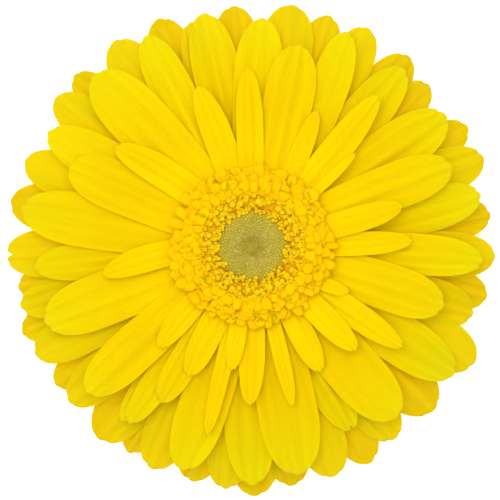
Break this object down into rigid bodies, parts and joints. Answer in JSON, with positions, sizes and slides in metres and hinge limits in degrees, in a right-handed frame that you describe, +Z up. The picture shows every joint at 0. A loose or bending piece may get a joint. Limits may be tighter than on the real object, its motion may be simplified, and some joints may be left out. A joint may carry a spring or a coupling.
{
  "type": "gerbera flower head",
  "caption": "Cut head of a fully double gerbera lying face up: overlapping ray florets around a collar of short florets and a green disc, over a cup of bracts and a short cut stalk.",
  "frame": {"origin": "on the surface that the head lies on, under the middle of its outline", "axes": "+Z up out of the flower's face, +X to the picture's right, +Y to the picture's top"},
  "size_m": [0.1116, 0.112, 0.0235],
  "materials": {
    "front_rays": "satin",
    "back_rays": "satin",
    "collar_florets": "matte",
    "open_florets": "matte",
    "buds": "matte",
    "bracts": "matte",
    "stalk": "matte",
    "pith": "matte"
  },
  "bodies": {
    "root": {"stem_stub": "stalk", "receptacle": "pith", "floret_bed": "pith", "inner_bracts": "bracts", "middle_bracts": "bracts", "outer_bracts": "bracts", "back_rays": "back_rays", "middle_rays": "back_rays", "trans_florets": "collar_florets", "open_florets": "open_florets", "disc_buds": "buds", "front_ray_01": "front_rays", "front_ray_02": "front_rays", "front_ray_03": "front_rays", "front_ray_04": "front_rays", "front_ray_05": "front_rays", "front_ray_06": "front_rays", "front_ray_07": "front_rays", "front_ray_08": "front_rays", "front_ray_09": "front_rays", "front_ray_10": "front_rays", "front_ray_11": "front_rays", "front_ray_12": "front_rays", "front_ray_13": "front_rays", "front_ray_14": "front_rays", "front_ray_15": "front_rays", "front_ray_16": "front_rays", "front_ray_17": "front_rays", "front_ray_18": "front_rays", "front_ray_19": "front_rays", "front_ray_20": "front_rays", "front_ray_21": "front_rays", "front_ray_22": "front_rays", "front_ray_23": "front_rays", "front_ray_24": "front_rays", "front_ray_25": "front_rays", "front_ray_26": "front_rays", "front_ray_27": "front_rays", "inner_ray_01": "front_rays", "inner_ray_02": "front_rays", "inner_ray_03": "front_rays", "inner_ray_04": "front_rays", "inner_ray_05": "front_rays", "inner_ray_06": "front_rays", "inner_ray_07": "front_rays", "inner_ray_08": "front_rays", "inner_ray_09": "front_rays", "inner_ray_10": "front_rays", "inner_ray_11": "front_rays", "inner_ray_12": "front_rays", "inner_ray_13": "front_rays", "inner_ray_14": "front_rays", "inner_ray_15": "front_rays", "inner_ray_16": "front_rays", "inner_ray_17": "front_rays", "inner_ray_18": "front_rays", "inner_ray_19": "front_rays"}
  },
  "joints": []
}
